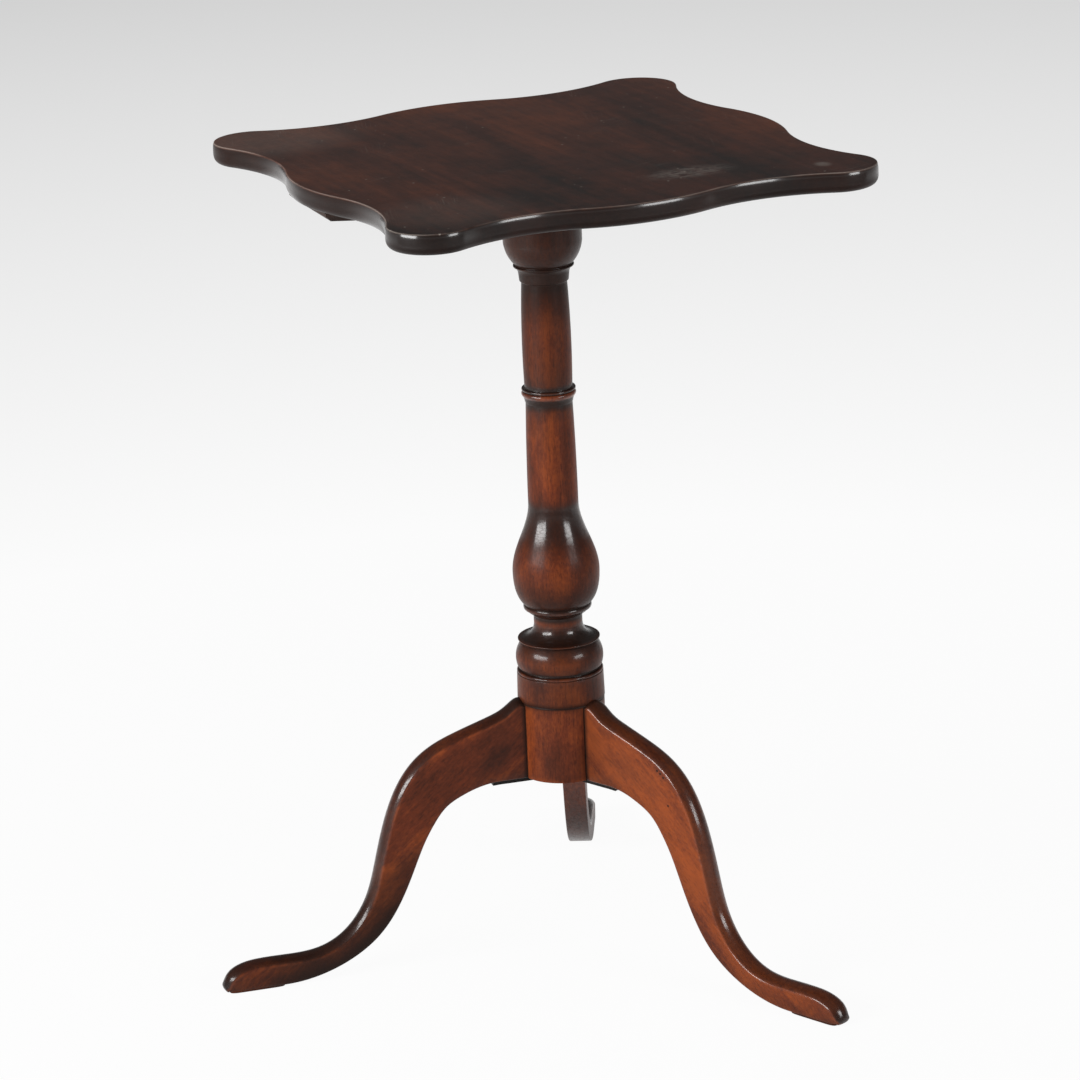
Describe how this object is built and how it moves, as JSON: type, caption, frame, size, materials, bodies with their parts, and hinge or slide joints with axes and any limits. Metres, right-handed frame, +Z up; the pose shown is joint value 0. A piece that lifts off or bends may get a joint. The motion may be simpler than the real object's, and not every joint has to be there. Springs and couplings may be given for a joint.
{
  "type": "candle stand",
  "caption": "Small wooden pedestal table: serpentine square top with round corner lobes on a turned vase column and a tripod of S-curved legs with slipper feet.",
  "frame": {"origin": "on the column's axis at floor level", "axes": "+Z up along the column, +X and +Y along the sides of the top, the left leg towards -X"},
  "size_m": [0.5237, 0.5699, 0.7],
  "materials": {
    "top_wood": "dark polish, worn",
    "column_wood": "gloss polish",
    "leg_wood": "gloss polish",
    "cleat_wood": "dull stain",
    "wedge_wood": "bare",
    "black_iron": "black, hand forged",
    "screw_steel": "dull"
  },
  "bodies": {
    "root": {"table_top": "top_wood", "cleat": "cleat_wood", "cleat_screws": "screw_steel", "column": "column_wood", "tenon_wedge": "wedge_wood", "leg_left": "leg_wood", "leg_front": "leg_wood", "leg_back": "leg_wood", "brace_plate": "black_iron", "brace_nails": "black_iron"}
  },
  "joints": []
}
